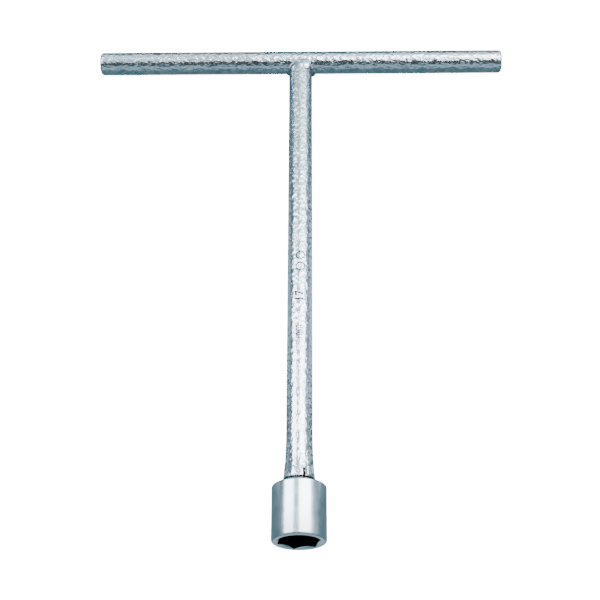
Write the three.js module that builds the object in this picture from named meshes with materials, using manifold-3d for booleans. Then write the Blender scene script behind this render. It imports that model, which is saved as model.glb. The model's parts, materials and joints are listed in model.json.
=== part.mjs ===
// A T-handle socket wrench for hexagon nuts and bolts, lying on a flat surface.
//
// Millimetres, +Z up. Each piece is modelled along the tool's own axis: Y runs from the mouth of
// the socket, at y = 0, up the shank to the crossbar, and the crossbar runs along X. The whole
// tool is then laid down on z = 0, where it rests on the shoulder of the socket and on the crossbar.
import * as THREE from "three";
import { ParametricGeometry } from "three/addons/geometries/ParametricGeometry.js";
import { mergeVertices } from "three/addons/utils/BufferGeometryUtils.js";
import Module from "manifold-3d";

const wasm = await Module();
wasm.setup();

// Overall sizes
const mouthToCrossbar = 260; // from the socket's end face to the axis of the crossbar
const crossbarLength = 210;
const crossbarDiameter = 12;
const crossbarEndRound = 1.8;
const shankDiameter = 12;
const socketWall = 2.35; // at its thinnest, outside the corners of the hexagon
const socketLength = 25; // from the end face to the corner where the conical shoulder starts

// The hexagon and what is behind it
const hexSize = 17; // the nut it fits, across flats
const hexAllowance = 0.15; // how much wider than the nut the hexagon is broached
const hexDepth = 13.5;
const hexTurn = THREE.MathUtils.degToRad(15.75); // from +X towards +Z, to the first corner
const pilotUndersize = 0.5; // the drilled hole is this much smaller than the hexagon across flats
const pilotRunout = 3; // and this much deeper, for the chips of the broach
const leadInAngle = THREE.MathUtils.degToRad(120); // included angle of the countersink
const leadInMargin = 0.05; // how far the countersink reaches past the corners of the hexagon

// The outside of the socket
const mouthRound = 0.9;
const shoulderSlope = THREE.MathUtils.degToRad(25.6); // from square to the axis
const shoulderRound = 0.8;

// The shank's foot, where it is swollen by forging, and the spigot that goes into the socket
const footSwell = 1.2; // on the radius
const footSwellLength = 22;
const seatInset = 0.8; // the flat seat on the socket is this much smaller than the foot, on the radius
const spigotDiameter = 9;
const socketWeb = 4; // solid metal between the drilled hole and the bore for the spigot

// Welds
const crossbarWeldLeft = 1.7; // radius of the bead in the left corner
const crossbarWeldRight = 2.1; // and in the right one, which is fatter
const crossbarWeldTaper = 1.7; // power of the cosine by which a bead thins towards front and back
const footBeadHeight = 0.7;
const footBeadProud = 0.12; // the bead stands this far out of the foot

const clearance = 0.3; // between pieces that are joined face to face

const ROUND_SEGMENTS = 48;
const SOCKET_SEGMENTS = 72;
const ARC_STEPS = 3; // a quarter or less of a circle takes twice this many chords
const BEAD_STEPS = 22;
const BEAD_SIDES = 12;

const crossbarRadius = crossbarDiameter / 2;
const shankRadius = shankDiameter / 2;
const spigotRadius = spigotDiameter / 2;
const footRadius = shankRadius + footSwell;
const hexAcrossFlats = hexSize + hexAllowance;
const hexCornerRadius = hexAcrossFlats / Math.sqrt(3);
const socketRadius = hexCornerRadius + socketWall;
const pilotRadius = (hexAcrossFlats - pilotUndersize) / 2;
const pilotDepth = hexDepth + pilotRunout;

// The socket's wall ends where the round of its shoulder starts, a little below the sharp corner.
const quarter = Math.PI / 2;
const shoulderStart = socketLength - shoulderRound * Math.tan((quarter - shoulderSlope) / 2);

// The shoulder climbs from the corner of the socket to the edge of the flat seat.
const shoulderHeight = (radius) => socketLength + (socketRadius - radius) * Math.tan(shoulderSlope);
const seatRadius = footRadius - seatInset;
const seatHeight = shoulderHeight(seatRadius);
const beadStart = seatHeight + clearance;
const footHeight = beadStart + footBeadHeight + clearance;
const spigotBoreEnd = pilotDepth + socketWeb;
const spigotEnd = spigotBoreEnd + clearance;

// ---------------------------------------------------------------- solids

// A closed three.js geometry as a solid that can be joined and cut.
function solid(geometry) {
  const bare = geometry.clone();
  bare.deleteAttribute("normal");
  bare.deleteAttribute("uv");
  const merged = mergeVertices(bare, 1e-4);
  const vertProperties = merged.attributes.position.array;
  const triVerts = new Uint32Array(merged.index.array);
  return new wasm.Manifold(new wasm.Mesh({ numProp: 3, vertProperties, triVerts }));
}

// A solid back as a three.js geometry.
function geometryOf(shape) {
  const mesh = shape.getMesh();
  const geometry = new THREE.BufferGeometry();
  geometry.setAttribute("position", new THREE.BufferAttribute(mesh.vertProperties, 3));
  geometry.setIndex(new THREE.BufferAttribute(mesh.triVerts, 1));
  geometry.computeVertexNormals();
  return geometry;
}

// A turned piece round Y. The outline goes up the outside, from the axis to the axis.
function turned(outline, segments) {
  return new THREE.LatheGeometry(outline.getPoints(ARC_STEPS), segments);
}

// A plain round bar along Y, used to cut the others.
function roundBar(radius, from, to) {
  const bar = new THREE.CylinderGeometry(radius, radius, to - from, ROUND_SEGMENTS);
  return bar.translate(0, (from + to) / 2, 0);
}

// ---------------------------------------------------------------- pieces

// The crossbar is one straight bar with rounded ends, and nothing passes through it.
function crossbarGeometry() {
  const half = crossbarLength / 2;
  const flat = crossbarRadius - crossbarEndRound;
  const outline = new THREE.Path()
    .moveTo(0, -half)
    .lineTo(flat, -half)
    .absarc(flat, -half + crossbarEndRound, crossbarEndRound, -quarter, 0, false)
    .lineTo(crossbarRadius, half - crossbarEndRound)
    .absarc(flat, half - crossbarEndRound, crossbarEndRound, 0, quarter, false)
    .lineTo(0, half);
  return turned(outline, ROUND_SEGMENTS)
    .rotateZ(-quarter)
    .translate(0, mouthToCrossbar, 0);
}

// What is kept clear round the crossbar by the pieces that meet it.
function crossbarClearance() {
  const reach = crossbarLength / 2;
  const cutter = roundBar(crossbarRadius + clearance, -reach, reach)
    .rotateZ(-quarter)
    .translate(0, mouthToCrossbar, 0);
  return solid(cutter);
}

// The shank has a spigot at the bottom, swells to its foot, and is coped round the crossbar.
function shankGeometry() {
  const swellTop = footHeight + footSwellLength;
  const outline = new THREE.Path()
    .moveTo(0, spigotEnd)
    .lineTo(spigotRadius, spigotEnd)
    .lineTo(spigotRadius, footHeight)
    .lineTo(footRadius, footHeight)
    .quadraticCurveTo(shankRadius, footHeight + footSwellLength / 2, shankRadius, swellTop)
    .lineTo(shankRadius, mouthToCrossbar)
    .lineTo(0, mouthToCrossbar);
  return geometryOf(solid(turned(outline, ROUND_SEGMENTS)).subtract(crossbarClearance()));
}

// The socket is turned outside, drilled from both ends, countersunk and broached.
function socketGeometry() {
  const leadInRadius = hexCornerRadius + leadInMargin;
  const leadInDepth = (leadInRadius - pilotRadius) / Math.tan(leadInAngle / 2);
  const boreRadius = spigotRadius + clearance;
  const outline = new THREE.Path()
    .moveTo(0, pilotDepth)
    .lineTo(pilotRadius, pilotDepth)
    .lineTo(pilotRadius, leadInDepth)
    .lineTo(leadInRadius, 0)
    .lineTo(socketRadius - mouthRound, 0)
    .absarc(socketRadius - mouthRound, mouthRound, mouthRound, -quarter, 0, false)
    .lineTo(socketRadius, shoulderStart)
    .absarc(socketRadius - shoulderRound, shoulderStart, shoulderRound, 0, quarter - shoulderSlope, false)
    .lineTo(seatRadius, seatHeight)
    .lineTo(boreRadius, seatHeight)
    .lineTo(boreRadius, spigotBoreEnd)
    .lineTo(0, spigotBoreEnd);
  const hexagon = new THREE.CylinderGeometry(hexCornerRadius, hexCornerRadius, 2 * hexDepth, 6);
  hexagon.rotateY(quarter - hexTurn);
  return geometryOf(solid(turned(outline, SOCKET_SEGMENTS)).subtract(solid(hexagon)));
}

// One of the two beads that join the shank to the crossbar. It follows the line where the two
// bars meet on one side, side = 1 for +X and -1 for -X, and thins out towards the front and back.
function crossbarWeldGeometry(side, beadRadius) {
  const surface = (along, round, target) => {
    const angle = (along - 0.5) * Math.PI;
    const z = shankRadius * Math.sin(angle);
    const drop = Math.sqrt(Math.max(crossbarRadius ** 2 - z ** 2, 0));
    const size = beadRadius * Math.max(Math.cos(angle), 0) ** crossbarWeldTaper;
    const outward = size * Math.cos(2 * Math.PI * round);
    const down = size * Math.sin(2 * Math.PI * round);
    const fromAxis = shankRadius + outward;
    const y = mouthToCrossbar - drop - down;
    target.set(side * fromAxis * Math.cos(angle), y, side * fromAxis * Math.sin(angle));
  };
  const top = mouthToCrossbar + crossbarRadius;
  const shankClearance = roundBar(shankRadius + clearance, footHeight, top);
  const bead = solid(new ParametricGeometry(surface, BEAD_STEPS, BEAD_SIDES));
  return geometryOf(bead.subtract(crossbarClearance()).subtract(solid(shankClearance)));
}

// The thin lip of metal squeezed out between the shank's foot and the seat on the socket.
function footBeadGeometry() {
  const inner = spigotRadius + clearance;
  const outer = footRadius + footBeadProud - footBeadHeight / 2;
  const middle = beadStart + footBeadHeight / 2;
  const outline = new THREE.Path()
    .moveTo(inner, beadStart)
    .lineTo(outer, beadStart)
    .absarc(outer, middle, footBeadHeight / 2, -quarter, quarter, false)
    .lineTo(inner, beadStart + footBeadHeight)
    .lineTo(inner, beadStart);
  return turned(outline, ROUND_SEGMENTS);
}

// ---------------------------------------------------------------- assembly

function piece(name, geometry, color, roughness) {
  const material = new THREE.MeshStandardMaterial({ color, roughness, metalness: 1 });
  const mesh = new THREE.Mesh(geometry, material);
  mesh.name = name;
  return mesh;
}

const tool = new THREE.Group();
tool.add(
  piece("crossbar", crossbarGeometry(), 0xa9b6bd, 0.5),
  piece("shank", shankGeometry(), 0xb1bcc4, 0.5),
  piece("socket", socketGeometry(), 0xb9c6cd, 0.3),
  piece("crossbar_weld_left", crossbarWeldGeometry(-1, crossbarWeldLeft), 0x8f9ea6, 0.55),
  piece("crossbar_weld_right", crossbarWeldGeometry(1, crossbarWeldRight), 0x8f9ea6, 0.55),
  piece("foot_bead", footBeadGeometry(), 0xc4ced4, 0.45),
);

// How far the shank slopes when the tool lies on the round of its shoulder and on its crossbar.
function restingSlope() {
  const reach = mouthToCrossbar - shoulderStart;
  const height = socketRadius - shoulderRound;
  const straight = Math.hypot(reach, height);
  return Math.atan2(height, reach) - Math.asin((crossbarRadius - shoulderRound) / straight);
}

// The origin is on the surface, under the middle of the tool.
tool.rotation.x = -restingSlope();
const part = new THREE.Group();
part.add(tool);
part.updateMatrixWorld(true);
const box = new THREE.Box3().setFromObject(part, true);
const middle = box.getCenter(new THREE.Vector3());
tool.position.set(-middle.x, -middle.y, -box.min.z);

export default part;
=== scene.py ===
# %% [markdown]
# # A T-handle socket wrench
#
# The tool is a round crossbar welded across the top of a round shank, with a short turned socket
# on the other end that takes a hexagon nut. It is all steel under bright zinc, but the two bars
# are as rough as they came from the rolling mill, and only the socket has been turned smooth. The
# look of the tool is that contrast, so most of the work below goes into surfaces.
#
# The tool lies on a pale floor. That is an awkward pose to model in, so each piece is modelled
# standing upright on the mouth of its socket, with Z up the shank, X along the crossbar and -Y as
# the front, and it is laid down when it is finished.

# %% The frame
import contextlib
import json
import math

import bmesh
import bpy
from mathutils import Euler, Matrix, Vector


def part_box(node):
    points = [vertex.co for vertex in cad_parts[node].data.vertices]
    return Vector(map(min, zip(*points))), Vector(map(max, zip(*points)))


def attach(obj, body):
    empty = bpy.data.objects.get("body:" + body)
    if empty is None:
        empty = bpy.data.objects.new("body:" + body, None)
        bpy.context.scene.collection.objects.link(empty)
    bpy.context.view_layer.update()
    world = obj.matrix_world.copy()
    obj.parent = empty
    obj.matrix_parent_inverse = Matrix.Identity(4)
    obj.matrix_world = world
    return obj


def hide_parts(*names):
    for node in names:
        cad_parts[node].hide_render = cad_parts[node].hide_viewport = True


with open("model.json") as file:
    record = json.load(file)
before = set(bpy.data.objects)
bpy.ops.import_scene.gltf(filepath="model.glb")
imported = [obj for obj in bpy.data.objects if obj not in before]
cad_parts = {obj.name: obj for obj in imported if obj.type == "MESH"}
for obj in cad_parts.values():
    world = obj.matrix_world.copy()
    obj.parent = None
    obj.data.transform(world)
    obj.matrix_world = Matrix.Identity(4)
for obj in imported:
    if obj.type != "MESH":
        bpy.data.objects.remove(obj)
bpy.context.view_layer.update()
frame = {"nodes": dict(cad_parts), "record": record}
print("CAD nodes:", sorted(frame["nodes"]))

# %% [markdown]
# ## Sizes
#
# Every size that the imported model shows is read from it: the bars' radii and lengths from the
# boxes of their nodes, and the tool's own axis from the mount on the end face of the socket, whose
# normal points out of the mouth. The rest are small features that only the looks need.

# %% Sizes and the upright frame
MM = 0.001
bar_low, bar_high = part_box("crossbar")
bar_radius = (bar_high.z - bar_low.z) / 2
bar_half = bar_high.x
socket_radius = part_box("socket")[1].x
foot_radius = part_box("shank")[1].x
shank_radius = bar_radius

face = frame["record"]["mounts"][0]
outward = Vector(face["axis"]).normalized()
bar_centre = (bar_low + bar_high) / 2
reach = (Vector(face["pos_m"]) - bar_centre).dot(outward)
mouth = bar_centre + reach * outward
slope = math.asin(outward.z)
LAY_DOWN = Matrix.Translation(mouth) @ Matrix.Rotation(-math.pi / 2 - slope, 4, "X")
print(f"mouth to crossbar {reach / MM:.1f} mm, at a slope of {math.degrees(slope):.2f} degrees")

# %% [markdown]
# ## Helpers for modelling
#
# Blender's operators act on whatever is selected, so three small helpers keep that under control:
# one leaves a single piece selected, one opens it in edit mode for a few lines, and one selects
# faces, edges or vertices by a rule on their place instead of by clicking.

# %% Modelling helpers
def only(piece):
    """Leaves just this piece selected and active."""
    bpy.ops.object.select_all(action="DESELECT")
    piece.select_set(True)
    bpy.context.view_layer.objects.active = piece


@contextlib.contextmanager
def editing(piece):
    """Opens the piece in edit mode for the lines inside the with."""
    only(piece)
    bpy.ops.object.mode_set(mode="EDIT")
    yield
    bpy.ops.object.mode_set(mode="OBJECT")


def choose(piece, kind, wanted):
    """In edit mode, selects just the vertices, edges or faces that are wanted."""
    bpy.ops.mesh.select_mode(type=kind)
    bpy.ops.mesh.select_all(action="DESELECT")
    mesh = bmesh.from_edit_mesh(piece.data)
    elements = {"VERT": mesh.verts, "EDGE": mesh.edges, "FACE": mesh.faces}[kind]
    for element in elements:
        element.select_set(wanted(element))
    mesh.select_flush_mode()
    bmesh.update_edit_mesh(piece.data)


def added(name):
    """The primitive that was just added, under its own name."""
    piece = bpy.context.object
    piece.name = name
    piece.data.name = name
    return piece


def modify(piece, kind, **settings):
    """Adds a modifier with these settings and applies it at once."""
    only(piece)
    modifier = piece.modifiers.new(kind.lower(), kind)
    for name, value in settings.items():
        setattr(modifier, name, value)
    bpy.ops.object.modifier_apply(modifier=modifier.name)


def join(piece, other, operation):
    """Joins another solid to the piece, or takes it out. Its faces keep its own material."""
    modify(
        piece, "BOOLEAN", object=other, operation=operation,
        solver="EXACT", material_mode="TRANSFER",
    )
    bpy.data.objects.remove(other)


def cut(piece, cutter):
    """Takes the cutter out of the piece. The new faces take the cutter's material."""
    join(piece, cutter, "DIFFERENCE")


def lengthwise(edge, axis):
    """True for an edge that runs along the axis, 0 for X or 2 for Z."""
    run = edge.verts[1].co - edge.verts[0].co
    return abs(run[axis]) > 0.9 * run.length


def slice_long_edges(piece, axis, longest, cuts):
    """In edit mode, cuts the edges along an axis that are longer than longest."""
    choose(piece, "EDGE", lambda edge: lengthwise(edge, axis) and edge.calc_length() > longest)
    bpy.ops.mesh.subdivide(number_cuts=cuts)


print("helpers ready")

# %% [markdown]
# ## Helpers for materials
#
# Colours are written as the hex values that a colour picker shows, and one function turns them to
# the linear values that a shader needs. Another adds a node with its settings and links. All the
# patterns read one set of coordinates: Object coordinates turned back upright and counted in
# millimetres, so that a noise with a scale of 2 has grains half a millimetre across.

# %% Material helpers
def colour(code):
    """An sRGB hex value as linear red, green, blue and alpha."""
    shares = [int(code[i:i + 2], 16) / 255 for i in (0, 2, 4)]
    return [s / 12.92 if s <= 0.04045 else ((s + 0.055) / 1.055) ** 2.4 for s in shares] + [1]


def add(tree, kind, values=None, links=None, **settings):
    """Adds a shader node: values and links go to its inputs, and settings to the node itself."""
    made = tree.nodes.new("ShaderNode" + kind)
    for name, value in settings.items():
        setattr(made, name, value)
    for name, value in (values or {}).items():
        made.inputs[name].default_value = value
    for name, source in (links or {}).items():
        tree.links.new(source, made.inputs[name])
    return made


def upright_millimetres(tree, stretch=(1, 1, 1)):
    """Millimetres in the upright frame, each axis divided by its stretch."""
    upright = LAY_DOWN.inverted()
    place = add(tree, "TexCoord").outputs["Object"]
    turned = add(
        tree, "Mapping", links={"Vector": place},
        values={
            "Location": upright.translation / MM,
            "Rotation": upright.to_euler(),
            "Scale": [1 / MM] * 3,
        },
    )
    shrink = {"Scale": [1 / s for s in stretch]}
    return add(tree, "Mapping", values=shrink, links={"Vector": turned.outputs[0]}).outputs[0]


def noise(tree, where, size, detail=2.0, roughness=0.5):
    """Noise whose grains are about size millimetres across."""
    values = {"Scale": 1 / size, "Detail": detail, "Roughness": roughness}
    return add(tree, "TexNoise", values=values, links={"Vector": where}).outputs["Fac"]


def between(tree, source, low, high, start=0.0, end=1.0):
    """Maps a value that runs from start to end onto low to high."""
    values = {"From Min": start, "From Max": end, "To Min": low, "To Max": high}
    return add(tree, "MapRange", values=values, links={"Value": source}).outputs["Result"]


def blend(tree, share, first, second):
    """Two hex colours mixed by a share."""
    colours = {6: colour(first), 7: colour(second)}
    return add(tree, "Mix", colours, {0: share}, data_type="RGBA").outputs[2]


def bumped(tree, height, depth):
    """A bump whose height of 0 to 1 is depth millimetres."""
    values = {"Strength": 1.0, "Distance": depth * MM}
    return add(tree, "Bump", values=values, links={"Height": height}).outputs["Normal"]


def metal(name):
    """A new material with a bare metal shader: its name, tree and shader."""
    material = bpy.data.materials.new(name)
    material.use_nodes = True
    shader = material.node_tree.nodes["Principled BSDF"]
    shader.inputs["Metallic"].default_value = 1.0
    return material, material.node_tree, shader


print("material helpers ready")

# %% [markdown]
# ## Bright zinc over hot-rolled bar
#
# Both bars are black hot-rolled steel, pickled and then plated with bright zinc. Rolling leaves a
# stippled skin with grains of about a millimetre, drawn out a little along the bar, and the
# zinc follows it and shines, so a light is broken up into sparkling points. The grains are drawn
# 1.5 mm wide, because finer ones would only blur the shine when the whole tool is seen. Zinc is a
# bluish white metal, and its thin passivation tints it unevenly. The two bars need the same
# finish with its grain along different axes, and the crossbar's is rougher, so one function with
# a stretch and a relief makes both.

# %% Plated bar finish
def plated_bar(name, stretch, relief):
    """Zinc on a rolled skin: its grain's stretch along X, Y and Z, and its relief in millimetres."""
    material, tree, shader = metal(name)
    where = upright_millimetres(tree, stretch)
    grain = noise(tree, where, 1.5, detail=1.0, roughness=0.5)
    patches = noise(tree, where, 9.0, detail=3.0, roughness=0.6)
    tint = blend(tree, between(tree, grain, 0, 1, 0.35, 0.65), "A3B1BA", "C8D0D4")
    tree.links.new(tint, shader.inputs["Base Color"])
    tree.links.new(between(tree, patches, 0.14, 0.24, 0.3, 0.7), shader.inputs["Roughness"])
    tree.links.new(bumped(tree, grain, relief), shader.inputs["Normal"])
    return material


crossbar_finish = plated_bar("bright_zinc_on_rolled_bar_x", (1.6, 1, 1), 0.42)
shank_finish = plated_bar("bright_zinc_on_rolled_bar_z", (1, 1, 1.6), 0.3)
print("made", crossbar_finish.name, "and", shank_finish.name)

# %% [markdown]
# ## Bright zinc over a turned surface
#
# The socket is turned on a lathe with a fine feed, which leaves rings about a tenth of a millimetre
# apart. Zinc fills them almost flat, and what is left gives a satin shine that is drawn out along
# the axis. Rings that fine can't be told apart when the whole tool is seen, so they are drawn
# 0.35 mm apart and very shallow, from a noise that only reads the height along the axis.

# %% Turned finish
def turned_zinc():
    material, tree, shader = metal("bright_zinc_on_turned_steel")
    where = upright_millimetres(tree)
    height = add(tree, "SeparateXYZ", links={"Vector": where}).outputs["Z"]
    rings = add(
        tree, "TexNoise", noise_dimensions="1D",
        values={"Scale": 1 / 0.35, "Detail": 1.0}, links={"W": height},
    ).outputs["Fac"]
    cloud = noise(tree, where, 6.0, detail=3.0)
    tint = blend(tree, between(tree, cloud, 0, 1, 0.35, 0.65), "B2C0C7", "C2CBD0")
    tree.links.new(tint, shader.inputs["Base Color"])
    tree.links.new(between(tree, cloud, 0.2, 0.26, 0.3, 0.7), shader.inputs["Roughness"])
    tree.links.new(bumped(tree, rings, 0.005), shader.inputs["Normal"])
    return material


turned_finish = turned_zinc()
print("made", turned_finish.name)

# %% [markdown]
# ## Inside the socket, in the stamps and on the welds
#
# The broached walls inside the socket are dull, and their near-black colour is painted shade: it
# stands for the shadow deep in the recess, and it fills the crevice under the foot too. The stamped
# marks, the pit and the crack are painted dark in the same way, as shade in their hollows. The welds
# are plated with the rest, but their skin is wrinkled and slightly darker.

# %% Dark and welded finishes
# Painted shade: a near-black, dull metal mottled darker still, for the shade in hollows.
def dark_steel(name, code, roughness):
    material, tree, shader = metal(name)
    where = upright_millimetres(tree)
    soot = noise(tree, where, 1.5, detail=3.0)
    tint = blend(tree, between(tree, soot, 0, 1, 0.35, 0.65), code, "0E1011")
    tree.links.new(tint, shader.inputs["Base Color"])
    dullness = between(tree, soot, roughness - 0.08, roughness + 0.08)
    tree.links.new(dullness, shader.inputs["Roughness"])
    tree.links.new(bumped(tree, noise(tree, where, 0.4), 0.03), shader.inputs["Normal"])
    return material


def weld_zinc():
    material, tree, shader = metal("bright_zinc_on_weld")
    where = upright_millimetres(tree)
    skin = noise(tree, where, 0.9, detail=3.0, roughness=0.6)
    tint = blend(tree, between(tree, skin, 0, 1, 0.35, 0.65), "5C6C74", "98A5AC")
    tree.links.new(tint, shader.inputs["Base Color"])
    tree.links.new(between(tree, skin, 0.25, 0.42, 0.3, 0.7), shader.inputs["Roughness"])
    tree.links.new(bumped(tree, skin, 0.1), shader.inputs["Normal"])
    return material


# Painted shade for the socket's recess and the crevice, and for the stamps, the pit and the crack.
recess_finish = dark_steel("dull_broached_steel", "1C1D1E", 0.6)
stamp_finish = dark_steel("dirty_stamped_steel", "181C20", 0.5)
weld_finish = weld_zinc()
print("made", recess_finish.name, stamp_finish.name, weld_finish.name)

# %% [markdown]
# ## Finishing a piece
#
# A finished piece is laid down, and its place is applied to its mesh, so that its object sits at
# the origin as the CAD nodes do. It then rides on the tool's one body and stands in for its CAD
# node, which is hidden; it keeps the material that it is given.

# %% Laying down and standing in
def finish(piece, node, material):
    if material.name not in piece.data.materials:
        piece.data.materials.append(material)
    only(piece)
    bpy.ops.object.transform_apply(location=True, rotation=True, scale=True)
    piece.matrix_world = LAY_DOWN
    bpy.ops.object.transform_apply(location=True, rotation=True, scale=True)
    bpy.ops.object.shade_smooth_by_angle(angle=math.radians(40))
    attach(piece, "root")
    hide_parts(node)
    print(piece.name, "stands for", node, "with", len(piece.data.polygons), "faces")


def roughen(piece, grain, depth, group="", level=1.0):
    """Moves the surface by depth in all, in lumps about as wide as grain.

    At a level of 1 it only sinks, at 0 it only swells, and between them it does both.
    """
    texture = bpy.data.textures.new(piece.name + "_lumps", "CLOUDS")
    texture.noise_scale = grain
    texture.noise_depth = 2
    modify(piece, "DISPLACE", texture=texture, strength=depth, mid_level=level, vertex_group=group)


print("ready to model")

# %% [markdown]
# ## The crossbar
#
# One length of hot-rolled bar with its ends rounded over by the grinder. It could stay a cylinder
# with a bumpy material, but the rolled skin shows even in the outline, so the bar is cut into
# small squares and its surface is moved in real lumps, coarse ones and fine ones. The crossbar's
# surface only sinks, which keeps it inside its true diameter and off the floor.

# %% Crossbar
BAR_SIDES = 80
SLICES = 20
SLICE_LENGTH = 2 * MM
END_ROUND = 1.8 * MM


def rolled_skin(piece, level):
    """Coarse and fine lumps over the whole piece."""
    roughen(piece, 6 * MM, 0.06 * MM, level=level)
    roughen(piece, 1.8 * MM, 0.07 * MM, level=level)


def model_crossbar():
    bpy.ops.mesh.primitive_cylinder_add(
        vertices=BAR_SIDES, radius=bar_radius, depth=2 * bar_half,
        location=(0, 0, reach), rotation=(0, math.pi / 2, 0),
    )
    bar = added("rolled_crossbar")
    bpy.ops.object.transform_apply(location=True, rotation=True)
    with editing(bar):
        choose(bar, "EDGE", lambda edge: not lengthwise(edge, 0))
        bpy.ops.mesh.bevel(offset=END_ROUND, segments=6, affect="EDGES")
        slice_long_edges(bar, 0, bar_half, SLICES)
        slice_long_edges(bar, 0, SLICE_LENGTH, SLICES)
    rolled_skin(bar, 1.0)
    return bar


crossbar = model_crossbar()
print("crossbar:", len(crossbar.data.polygons), "faces")

# %% [markdown]
# A small pit near the right-hand end is a flaw in the rolled skin. It is cut with a ball, and the
# ball leaves its faces painted dark: painted shade inside the pit.

# %% Pit in the crossbar
PIT_RADIUS = 0.75 * MM
PIT_PLACE = (0.965 * bar_half, -0.45 * bar_radius, reach + 0.86 * bar_radius)


def cut_pit():
    bpy.ops.mesh.primitive_ico_sphere_add(subdivisions=3, radius=PIT_RADIUS, location=PIT_PLACE)
    pit = added("pit")
    # The ball's faces are painted dark: painted shade inside the pit.
    pit.data.materials.append(stamp_finish)
    cut(crossbar, pit)


crossbar.data.materials.append(crossbar_finish)
cut_pit()
finish(crossbar, "crossbar", crossbar_finish)

# %% [markdown]
# ## The shank
#
# The shank is the same bar stood upright. Its foot was upset in the forge, so it swells over the
# last 22 mm, and it meets the cone on the socket. It grows from a circle at the foot: each ring is
# extruded up and drawn in, faster at first, and then one long extrusion is cut into short rings.

# %% Shank
SHANK_SIDES = 80
SWELL_LENGTH = 22 * MM
SWELL_RINGS = 44
SWELL_POWER = 1.8  # over 1, so that the foot spreads faster towards its end
socket_length = 25.0 * MM
shoulder_slope = math.radians(25.6)
foot_height = socket_length + (socket_radius - foot_radius) * math.tan(shoulder_slope)


def swell(height):
    """The shank's radius at a height above its foot."""
    share = max(1 - height / SWELL_LENGTH, 0)
    return shank_radius + (foot_radius - shank_radius) * share ** SWELL_POWER


def model_shank():
    bpy.ops.mesh.primitive_circle_add(
        vertices=SHANK_SIDES, radius=swell(0), fill_type="NGON", location=(0, 0, foot_height),
    )
    shank = added("rolled_shank")
    bpy.ops.object.transform_apply(location=True)
    step = SWELL_LENGTH / SWELL_RINGS
    with editing(shank):
        bpy.ops.mesh.select_all(action="SELECT")
        for ring in range(SWELL_RINGS):
            shrink = swell((ring + 1) * step) / swell(ring * step)
            bpy.ops.mesh.extrude_region_move(TRANSFORM_OT_translate={"value": (0, 0, step)})
            bpy.ops.transform.resize(value=(shrink, shrink, 1))
        straight = reach - foot_height - SWELL_LENGTH
        bpy.ops.mesh.extrude_region_move(TRANSFORM_OT_translate={"value": (0, 0, straight)})
        slice_long_edges(shank, 2, bar_half, SLICES)
        slice_long_edges(shank, 2, SLICE_LENGTH, SLICES)
        bpy.ops.mesh.select_all(action="SELECT")
        bpy.ops.mesh.normals_make_consistent(inside=False)
    return shank


shank = model_shank()
shank.data.materials.append(shank_finish)
print("shank:", len(shank.data.polygons), "faces, foot at", round(foot_height / MM, 2), "mm")

# %% [markdown]
# The rolled skin goes on as on the crossbar, except that here it swells as well as sinks. The foot
# was squeezed while hot, so its skin is wrinkled more deeply, and a vertex group that fades out
# over its height keeps that to the foot.

# %% Rolled skin and wrinkled foot
WRINKLED_HEIGHT = 0.7 * SWELL_LENGTH


def wrinkle_foot():
    group = shank.vertex_groups.new(name="foot")
    for vertex in shank.data.vertices:
        share = 1 - (vertex.co.z - foot_height) / WRINKLED_HEIGHT
        if share > 0:
            group.add([vertex.index], min(share, 1), "REPLACE")
    roughen(shank, 2.4 * MM, 0.6 * MM, group="foot", level=0.5)
    shank.vertex_groups.clear()


rolled_skin(shank, 0.4)
wrinkle_foot()
print("the foot is wrinkled over", round(WRINKLED_HEIGHT / MM, 1), "mm")

# %% [markdown]
# The top is coped to sit against the crossbar: a round cutter as thick as the bar takes it out,
# a hair smaller, so that no slit shows between them. That leaves two sharp horns, which were
# rounded off with the welds. They are cut by a block with a dome-shaped pocket: a ball stretched
# upwards, as wide as the shank at its middle.

# %% Cope
COPE_RADIUS = bar_radius - 0.2 * MM
DOME_DROP = 8 * MM  # from the crossbar's axis down to the dome's widest place
DOME_STRETCH = 1.62


def cope_shank():
    bpy.ops.mesh.primitive_cylinder_add(
        vertices=96, radius=COPE_RADIUS, depth=4 * bar_radius,
        location=(0, 0, reach), rotation=(0, math.pi / 2, 0),
    )
    cutter = added("cope")
    cutter.data.materials.append(shank_finish)
    cut(shank, cutter)


def round_off_horns():
    base = reach - DOME_DROP
    bpy.ops.mesh.primitive_cylinder_add(
        vertices=48, radius=1.5 * bar_radius, depth=4 * bar_radius,
        location=(0, 0, base + 2 * bar_radius),
    )
    block = added("horn_block")
    bpy.ops.mesh.primitive_uv_sphere_add(
        segments=96, ring_count=64, radius=shank_radius + 0.05 * MM,
        location=(0, 0, base), scale=(1, 1, DOME_STRETCH),
    )
    cut(block, added("horn_pocket"))
    block.data.materials.clear()
    block.data.materials.append(shank_finish)
    cut(shank, block)


cope_shank()
round_off_horns()
print("coped to a radius of", round(COPE_RADIUS / MM, 2), "mm")

# %% [markdown]
# ## Stamped marks
#
# The shank carries marks struck into it with steel stamps, read from the socket towards the
# crossbar. Here they are the unit, the size and two plain hexagons. A flat letter sunk straight
# into a round bar would be deep in the middle and vanish at its edges, so the letters are made
# into tall blocks first, the bar's core is taken out of them, and what is left cuts to an even
# depth. The font's thin strokes are made fatter where they can be. Those of an m can't, because
# the fatter outline crosses itself, and such a block would be added to the bar and not cut out.

# %% Stamps
STAMP_DEPTH = 0.28 * MM
STAMP_HEIGHT = 4.0 * MM
FONT_SIZE = 1.38 * STAMP_HEIGHT  # its capitals are then as tall as the stamps
FRONT_READING_UP = Matrix(((0, -1, 0, 0), (0, 0, -1, 0), (1, 0, 0, 0), (0, 0, 0, 1)))


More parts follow.
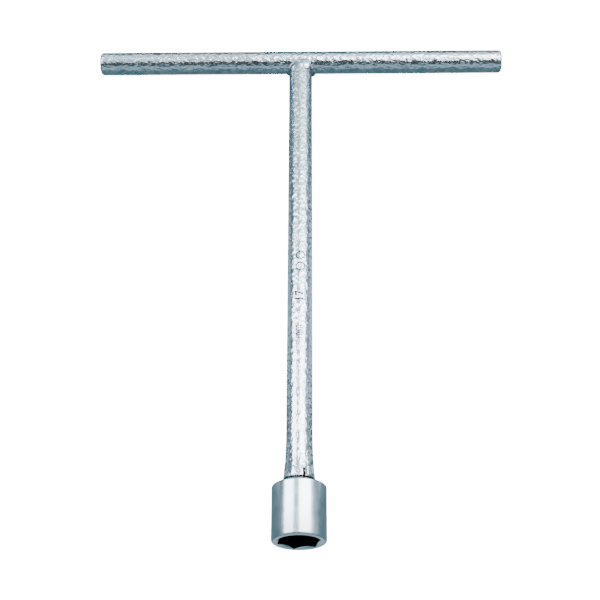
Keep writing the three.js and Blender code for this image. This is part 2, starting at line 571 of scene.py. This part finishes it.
def letters(text, height, stretch, aside=0.0, fatter=0.0):
    """Blocks in the shape of the text, facing the front and reading up.

    They are centred at a height, moved aside, stretched along and across the line, and made
    fatter by a length on each side of a stroke.
    """
    bpy.ops.object.text_add()
    block = added("stamp_" + text)
    block.data.body = text
    block.data.align_x = "CENTER"
    block.data.align_y = "CENTER"
    block.data.size = FONT_SIZE
    block.data.offset = fatter
    block.data.space_character = 1.15
    block.data.extrude = bar_radius / 2
    bpy.ops.object.convert(target="MESH")
    place = Matrix.Translation((aside, -bar_radius, height)) @ FRONT_READING_UP
    block.matrix_world = place @ Matrix.Diagonal((*stretch, 1, 1))
    bpy.ops.object.transform_apply(location=True, rotation=True, scale=True)
    return block


def hexagon_ring(height):
    """A hexagonal frame, made as a six-sided bar with its middle taken out."""
    shape = {
        "vertices": 6, "depth": bar_radius,
        "location": (0.2 * MM, -bar_radius, height), "rotation": (math.pi / 2, 0, 0),
    }
    bpy.ops.mesh.primitive_cylinder_add(radius=0.62 * STAMP_HEIGHT, **shape)
    ring = added("stamp_hexagon")
    bpy.ops.mesh.primitive_cylinder_add(radius=0.47 * STAMP_HEIGHT, **shape)
    cut(ring, added("stamp_middle"))
    return ring


def stamp(block):
    """Strikes a block into the shank to an even depth."""
    bpy.ops.mesh.primitive_cylinder_add(
        vertices=144, radius=shank_radius - STAMP_DEPTH, depth=reach,
        location=(0, 0, reach / 2),
    )
    cut(block, added("core"))
    # The cut faces are painted dark: painted shade in the bottom of the marks.
    block.data.materials.clear()
    block.data.materials.append(stamp_finish)
    cut(shank, block)


stamp(letters("17", 0.453 * reach, stretch=(0.92, 1.0), fatter=0.17 * MM))
stamp(letters("mm", 0.381 * reach, stretch=(0.8, 1.45), aside=-0.7 * MM))
stamp(hexagon_ring(0.515 * reach))
stamp(hexagon_ring(0.538 * reach))
print("stamped: two hexagons, 17 and mm,", round(STAMP_DEPTH / MM, 2), "mm deep")

# %% [markdown]
# A crack runs up from the bottom of the foot where the upset metal folded. A slim cone that stands
# mostly inside the foot cuts it here, and it cuts the lip under the foot later. The crack is drawn
# wider than a real one, so that it shows when the whole tool is seen, and its faces are painted
# dark: painted shade inside the crack.

# %% Crack in the foot
CRACK_TURN = math.radians(18)  # from the front, to the right
CRACK_HEIGHT = 4.5 * MM
CRACK_FOOT = 0.95 * MM  # the cone's radius at the bottom
CRACK_TOP = 0.65 * MM
crack_centre = foot_radius - 0.6 * MM


def crack_wedge():
    place = (
        crack_centre * math.sin(CRACK_TURN),
        -crack_centre * math.cos(CRACK_TURN),
        foot_height + CRACK_HEIGHT / 2,
    )
    bpy.ops.mesh.primitive_cone_add(
        vertices=6, radius1=CRACK_FOOT, radius2=CRACK_TOP, depth=CRACK_HEIGHT, location=place,
    )
    wedge = added("crack")
    # Painted shade inside the crack.
    wedge.data.materials.append(stamp_finish)
    return wedge


cut(shank, crack_wedge())
print("shank after the crack:", len(shank.data.polygons), "faces")

# %% [markdown]
# The foot doesn't close on the socket. A narrow crevice runs round between them, and it is cut
# with a washer, whose faces are painted near-black: painted shade in the crevice.

# %% Crevice
CREVICE_HEIGHT = 0.75 * MM
CREVICE_DEPTH = 1.3 * MM
BELOW_FOOT = 0.8 * MM  # so that the washer cuts clean through the foot's uneven rim


def cut_crevice():
    thick = CREVICE_HEIGHT + BELOW_FOOT
    place = {"vertices": 96, "location": (0, 0, foot_height + CREVICE_HEIGHT - thick / 2)}
    bpy.ops.mesh.primitive_cylinder_add(radius=1.2 * foot_radius, depth=thick, **place)
    washer = added("washer")
    bpy.ops.mesh.primitive_cylinder_add(radius=foot_radius - CREVICE_DEPTH, depth=2 * thick, **place)
    cut(washer, added("washer_hole"))
    washer.data.materials.clear()
    # The washer's faces are painted near-black: painted shade in the crevice.
    washer.data.materials.append(recess_finish)
    cut(shank, washer)


cut_crevice()
finish(shank, "shank", shank_finish)

# %% [markdown]
# ## The lip under the foot
#
# Where the hot foot was pressed onto the socket, a thin lip of metal squeezed out. It is a ring a
# little under a millimetre thick, proud in some places and sunk in others.

# %% Lip
LIP_RADIUS = 0.45 * MM
LIP_INSET = 0.22 * MM  # from the foot's radius to the ring's middle
lip_height = foot_height + CREVICE_HEIGHT + 0.3 * MM


def model_lip():
    bpy.ops.mesh.primitive_torus_add(
        major_segments=144, minor_segments=20, major_radius=foot_radius - LIP_INSET,
        minor_radius=LIP_RADIUS, location=(0, 0, lip_height),
    )
    lip = added("squeezed_lip")
    bpy.ops.object.transform_apply(location=True)
    roughen(lip, 3.5 * MM, 0.25 * MM)
    lip.data.materials.append(shank_finish)
    cut(lip, crack_wedge())
    return lip


finish(model_lip(), "foot_bead", shank_finish)

# %% [markdown]
# ## The socket
#
# A short thick cylinder turned on the lathe. The outside is a primitive whose top face is extruded
# into the conical shoulder and whose two corners are rounded. The inside is cut by the shapes of
# the tools that make it: a drill for the blind hole, a countersink for the lead-in and a
# six-sided broach, whose corners are slightly rounded.

# %% Socket outside
SOCKET_SIDES = 144
MOUTH_ROUND = 0.9 * MM
SHOULDER_ROUND = 0.8 * MM
SEAT_INSET = 0.8 * MM
seat_radius = foot_radius - SEAT_INSET
shoulder_setback = SHOULDER_ROUND * math.tan((math.pi / 2 - shoulder_slope) / 2)


def model_socket():
    bpy.ops.mesh.primitive_cylinder_add(
        vertices=SOCKET_SIDES, radius=socket_radius, depth=socket_length,
        location=(0, 0, socket_length / 2),
    )
    socket = added("turned_socket")
    bpy.ops.object.transform_apply(location=True)
    shrink = seat_radius / socket_radius
    rise = (socket_radius - seat_radius) * math.tan(shoulder_slope)
    with editing(socket):
        choose(socket, "FACE", lambda face: face.normal.z > 0.9)
        bpy.ops.mesh.extrude_region_move(TRANSFORM_OT_translate={"value": (0, 0, rise)})
        bpy.ops.transform.resize(value=(shrink, shrink, 1))
        choose(socket, "EDGE", lambda edge: on_ring(edge, 0))
        bpy.ops.mesh.bevel(offset=MOUTH_ROUND, segments=8, affect="EDGES")
        choose(socket, "EDGE", lambda edge: on_ring(edge, socket_length))
        bpy.ops.mesh.bevel(offset=shoulder_setback, segments=6, affect="EDGES")
    return socket


def on_ring(edge, height):
    """True for an edge of the full-width ring at a height."""
    level = all(abs(vertex.co.z - height) < 0.01 * MM for vertex in edge.verts)
    return level and all(vertex.co.xy.length > 0.99 * socket_radius for vertex in edge.verts)


socket = model_socket()
socket.data.materials.append(turned_finish)
print("socket outside:", len(socket.data.polygons), "faces")

# %% Socket inside
HEX_FLATS = 17.15 * MM
HEX_DEPTH = 13.5 * MM
HEX_TURN = math.radians(15.75)  # from the crossbar's direction to the nearest corner
HEX_CORNER_ROUND = 0.35 * MM
PILOT_RADIUS = 8.325 * MM
PILOT_DEPTH = 16.5 * MM
LEAD_ANGLE = math.radians(120)
hex_radius = HEX_FLATS / math.sqrt(3)
lead_radius = hex_radius + 0.05 * MM


def drill():
    bpy.ops.mesh.primitive_cylinder_add(
        vertices=SOCKET_SIDES, radius=PILOT_RADIUS, depth=2 * PILOT_DEPTH,
    )
    return added("drill")


def countersink():
    tip = lead_radius / math.tan(LEAD_ANGLE / 2)
    bpy.ops.mesh.primitive_cone_add(
        vertices=SOCKET_SIDES, radius1=2 * lead_radius, radius2=0, depth=2 * tip,
    )
    return added("countersink")


def broach():
    bpy.ops.mesh.primitive_cylinder_add(vertices=6, radius=hex_radius, depth=2 * HEX_DEPTH)
    tool = added("broach")
    tool.rotation_euler.z = math.radians(30) - HEX_TURN
    bpy.ops.object.transform_apply(rotation=True)
    with editing(tool):
        choose(tool, "EDGE", lambda edge: lengthwise(edge, 2))
        bpy.ops.mesh.bevel(offset=HEX_CORNER_ROUND, segments=4, affect="EDGES")
    return tool


INSIDE_TOOLS = (
    # what makes the cutter, and the material of its cut faces: painted shade in the recess, turned
    # zinc on the lead-in
    (drill, recess_finish),
    (broach, recess_finish),
    (countersink, turned_finish),
)
for make_tool, surface in INSIDE_TOOLS:
    tool = make_tool()
    tool.data.materials.append(surface)
    cut(socket, tool)
print("socket cut inside:", len(socket.data.polygons), "faces")

# %% [markdown]
# No machined edge is truly sharp. A bevel of a seventh of a millimetre on every sharp edge gives
# the bright worn line that runs round the mouth.

# %% Worn edges
modify(
    socket, "BEVEL", width=0.14 * MM, segments=2,
    limit_method="ANGLE", angle_limit=math.radians(25),
)
finish(socket, "socket", turned_finish)

# %% [markdown]
# ## The welds
#
# Two bars of the same thickness meet in a curve that lies in a plane at 45 degrees: half an
# ellipse on each side. So a bead starts as a small circle, is spun half round into half a torus,
# is stretched into half an ellipse and tipped by 45 degrees into the corner. It is fat in the
# corner and thins out to nothing towards the front and back, where the two bars are flush. Its
# size also goes up and down a little along its length, as the welder's hand did, and its middle
# is sunk into the corner.

# %% Helpers for a bead
BEAD_STEPS = 60
BEAD_SIDES = 24
BEAD_SINK = 0.25 * MM
BEAD_TAPER = 1.7  # over 1, so that a bead's ends are thin over a longer stretch
THINNEST = 0.03
WAVER = 0.05  # share of its size by which a bead goes up and down
WAVER_STEP = 1.9  # radians per ring


def bead_size(angle):
    """How thick a bead is, as a share, at an angle round the shank from its corner."""
    return max(abs(math.cos(angle)) ** BEAD_TAPER, THINNEST)


def bead_angle(vertex):
    """The angle round the shank from the bead's corner."""
    return math.atan2(vertex.co.y, vertex.co.x)


def thin_out(weld, spine):
    """In edit mode, gives each ring of the half torus its own thickness."""
    for step in range(BEAD_STEPS + 1):
        angle = math.pi * (step / BEAD_STEPS - 0.5)
        size = bead_size(angle) * (1 + WAVER * math.sin(WAVER_STEP * step))
        centre = (spine * math.cos(angle), spine * math.sin(angle), 0)
        choose(weld, "VERT", lambda vertex: abs(bead_angle(vertex) - angle) < 0.01)
        bpy.ops.transform.resize(value=(size, size, size), center_override=centre)


def close_ends(weld):
    """In edit mode, puts a face on each end and turns all faces outwards."""
    choose(weld, "EDGE", lambda edge: edge.is_boundary)
    bpy.ops.mesh.edge_face_add()
    bpy.ops.mesh.select_all(action="SELECT")
    bpy.ops.mesh.normals_make_consistent(inside=False)


def wrinkle(weld):
    """Lumps as deep as the bead is thick, so that its thin ends keep their shape."""
    group = weld.vertex_groups.new(name="bead")
    for vertex in weld.data.vertices:
        group.add([vertex.index], bead_size(bead_angle(vertex)), "REPLACE")
    weld.scale.x = math.sqrt(2)
    bpy.ops.object.transform_apply(scale=True)
    roughen(weld, 1.8 * MM, 0.3 * MM, group="bead")
    weld.vertex_groups.clear()


print("a bead has", BEAD_STEPS, "rings of", BEAD_SIDES, "corners")

# %% Welds
RIGHT_BEAD = 1.85 * MM
LEFT_BEAD = 1.5 * MM
RUN_OUT_PLACE = (2.1 * MM, 1.45 * MM - bar_radius, reach - 4.7 * MM)
RUN_OUT_SIZE = (3.3, 1.9, 4.2)  # millimetres: half its width, thickness and height


def model_weld(name, bead, turn):
    """A bead of this radius in the corner that the turn about Y points it to."""
    spine = bar_radius - BEAD_SINK
    bpy.ops.mesh.primitive_circle_add(
        vertices=BEAD_SIDES, radius=bead, location=(0, -spine, 0), rotation=(0, math.pi / 2, 0),
    )
    weld = added(name)
    bpy.ops.object.transform_apply(location=True, rotation=True)
    with editing(weld):
        bpy.ops.mesh.select_all(action="SELECT")
        bpy.ops.mesh.spin(steps=BEAD_STEPS, angle=-math.pi, center=(0, 0, 0), axis=(0, 0, 1))
        thin_out(weld, spine)
        close_ends(weld)
    wrinkle(weld)
    weld.rotation_euler.y = turn
    weld.location.z = reach
    bpy.ops.object.transform_apply(location=True, rotation=True)
    return weld


def add_run_out(weld):
    """The smooth lump on the front of the joint, where the welder ended the right-hand bead."""
    bpy.ops.mesh.primitive_uv_sphere_add(
        segments=64, ring_count=32, radius=MM, location=RUN_OUT_PLACE, scale=RUN_OUT_SIZE,
    )
    lump = added("run_out")
    lump.data.materials.append(turned_finish)
    weld.data.materials.append(weld_finish)
    join(weld, lump, "UNION")


right_weld = model_weld("right_weld", RIGHT_BEAD, math.radians(45))
add_run_out(right_weld)
left_weld = model_weld("left_weld", LEFT_BEAD, math.radians(135))
finish(right_weld, "crossbar_weld_right", weld_finish)
finish(left_weld, "crossbar_weld_left", weld_finish)

# %% [markdown]
# ## Camera
#
# The camera stands in front of the tool and looks down on it, turned so slightly that it is easy
# to miss. Its place is given in the upright frame, before the tool is laid down.

# %% Camera
CAMERA_PLACE = Vector((9.124, -547.611, -175.864)) * MM
CAMERA_TILT = (28.27, 0.85, 0.18)  # degrees up from level, to the left, and about its own axis
FOCAL_LENGTH = 78.72  # millimetres, in front of a frame 36 mm wide


def add_camera():
    lens = bpy.data.cameras.new("camera")
    lens.sensor_width = 36
    lens.lens = FOCAL_LENGTH
    camera = bpy.data.objects.new("camera", lens)
    bpy.context.collection.objects.link(camera)
    level = Matrix.Rotation(math.pi / 2, 4, "X")
    tilt = Euler([math.radians(angle) for angle in CAMERA_TILT]).to_matrix().to_4x4()
    camera.matrix_world = LAY_DOWN @ Matrix.Translation(CAMERA_PLACE) @ level @ tilt
    bpy.context.scene.camera = camera
    return camera


camera = add_camera()
print("camera at", [round(v, 3) for v in camera.matrix_world.translation])

# %% [markdown]
# ## Floor and light
#
# A metal tool shows its surroundings more than itself, so the lights are large soft boxes whose
# reflections make the bright bands along the bars. The floor is pale and glows a little, like a
# light table, which takes away its shadows. It is kept out of the reflections: the sides of the
# tool mirror a dim grey-blue room instead, as they would on a small table in a dark studio, and
# that gives the round shapes their edges.

# %% Floor
FLOOR_GLOW = 12.0


def add_floor():
    bpy.ops.mesh.primitive_plane_add(size=8)
    floor = added("floor")
    material = bpy.data.materials.new("pale_floor")
    material.use_nodes = True
    shader = material.node_tree.nodes["Principled BSDF"]
    shader.inputs["Base Color"].default_value = colour("F7F8F8")
    shader.inputs["Roughness"].default_value = 0.9
    shader.inputs["Emission Color"].default_value = colour("FFFFFF")
    shader.inputs["Emission Strength"].default_value = FLOOR_GLOW
    floor.data.materials.append(material)
    floor.visible_glossy = False


add_floor()
print("floor added")

# %% [markdown]
# Each light is given by the angles that it fills, seen from the tool, because that is what a
# reflection shows. The bars and the socket slope differently towards the camera, so each of them
# mirrors its own strip of angles. That lets a strip be dimmed for one of them alone: the softboxes
# are split into a front strip for the crossbar, a middle one for the socket and the lower shank,
# and back ones for the upper shank and the crossbar's far side. Reflections don't see the floor,
# so two fills and a small card can lie below it, for the undersides of the tool and the end face
# of the socket. A black card in front of the tool gives the crossbar the dark line that a glossy
# bar always has.

# %% Helpers for lights
FAR = 2.0  # metres from the tool to each softbox


def facing_tool(across, along):
    """Turned to face the tool from two angles off straight up: towards +X and towards +Y."""
    sideways = Matrix.Rotation(math.radians(across), 4, "Y")
    backwards = Matrix.Rotation(math.radians(-along), 4, "X")
    return sideways @ backwards @ Matrix.Translation((0, 0, FAR))


def middle_and_size(span):
    """The middle of a span of angles, and how long a flat panel at FAR is that fills it."""
    low, high = span
    return (low + high) / 2, 2 * FAR * math.tan(math.radians(high - low) / 2)


def flat_light(name, width, length, brightness, tint, place):
    """A rectangular light that looks equally bright at any size."""
    light = bpy.data.lights.new(name, "AREA")
    light.shape = "RECTANGLE"
    light.size = width
    light.size_y = length
    light.energy = 4 * width * length * brightness
    light.color = colour(tint)[:3]
    holder = bpy.data.objects.new(name, light)
    bpy.context.collection.objects.link(holder)
    holder.matrix_world = place
    print(name, f"{width:.2f} x {length:.2f} m, {light.energy:.2f} W")
    return holder


def softbox(name, across, along, brightness, tint):
    """A flat light that fills a span of angles in each direction."""
    x_angle, width = middle_and_size(across)
    y_angle, length = middle_and_size(along)
    return flat_light(name, width, length, brightness, tint, facing_tool(x_angle, y_angle))


CARD_WIDTH = 0.05
CARD_LENGTH = 0.14
CARD_AHEAD = 0.075  # from the mouth of the socket to the card's middle
CARD_DROP = 0.03  # below the floor


def mouth_card():
    """A small pale card under the floor, which only the end face of the socket mirrors."""
    middle = Matrix.Translation((0, mouth.y - CARD_AHEAD, -CARD_DROP))
    facing_up = Matrix.Rotation(math.pi, 4, "X")
    return flat_light("mouth_card", CARD_WIDTH, CARD_LENGTH, 0.4, "DDE9EC", middle @ facing_up)


print("light helpers ready")

# %% Helpers for the surroundings
SEEN_STRENGTH = 20.0  # so that the far end of the floor doesn't show against it


def black_card(name, across, along):
    """A black panel that only reflections see."""
    x_angle, width = middle_and_size(across)
    y_angle, length = middle_and_size(along)
    bpy.ops.mesh.primitive_plane_add(size=1)
    card = added(name)
    card.matrix_world = facing_tool(x_angle, y_angle) @ Matrix.Diagonal((width, length, 1, 1))
    material = bpy.data.materials.new(name)
    material.use_nodes = True
    shader = material.node_tree.nodes["Principled BSDF"]
    shader.inputs["Base Color"].default_value = colour("0A0C0D")
    card.data.materials.append(material)
    card.visible_camera = False
    card.visible_diffuse = False
    card.visible_shadow = False


def room(tint, strength, seen):
    """A dim room that the metal mirrors, and a pale one that the camera sees behind the floor."""
    world = bpy.data.worlds.new("studio")
    world.use_nodes = True
    bpy.context.scene.world = world
    tree = world.node_tree
    dim = tree.nodes["Background"]
    dim.inputs["Color"].default_value = colour(tint)
    dim.inputs["Strength"].default_value = strength
    pale = add(tree, "Background", values={"Color": colour(seen), "Strength": SEEN_STRENGTH})
    straight = add(tree, "LightPath").outputs["Is Camera Ray"]
    both = add(tree, "MixShader", links={0: straight, 1: dim.outputs[0], 2: pale.outputs[0]})
    tree.links.new(both.outputs[0], tree.nodes["World Output"].inputs["Surface"])


print("surroundings ready")

# %% Lights
SOFTBOXES = (
    # name, angles across, angles along, brightness, tint
    ("left_softbox", (-60, -24), (14, 30), 12, "F4F8FF"),
    ("right_softbox", (3, 48), (14, 30), 14, "FFFFFF"),
    ("front_left_softbox", (-60, -24), (-12, 13), 5, "F4F8FF"),
    ("front_right_softbox", (3, 48), (-12, 13), 5, "FFFFFF"),
    ("middle_fill", (-24, 3), (-12, 38), 1.2, "D6E4EE"),
    ("right_fill", (48, 62), (-12, 72), 1.8, "D0D8EC"),
    ("low_right_fill", (62, 84), (-12, 72), 0.6, "C4D0DC"),
    ("back_left_fill", (-60, -24), (31, 38), 2.4, "D6E4EE"),
    ("back_right_fill", (3, 54), (31, 38), 6.0, "EEF3F8"),
    ("low_back_left_fill", (-60, -3), (39, 70), 0.7, "D6E4EE"),
    ("low_back_right_fill", (-3, 48), (39, 70), 1.2, "E2EAF0"),
    ("front_fill", (-60, 60), (-95, -56), 0.8, "A8BCC8"),
    ("under_left_fill", (-150, -92), (22, 33), 0.9, "B4C8D4"),
    ("under_right_fill", (92, 150), (22, 33), 1.3, "C8D2E0"),
)
for settings in SOFTBOXES:
    softbox(*settings)
mouth_card()
wash = softbox("floor_wash", (-40, 40), (-40, 40), 17, "FFFFFF")
wash.visible_glossy = False
black_card("front_flag", (-60, 60), (-52, -14))
room("6B8893", 1.25, "F4F5F6")
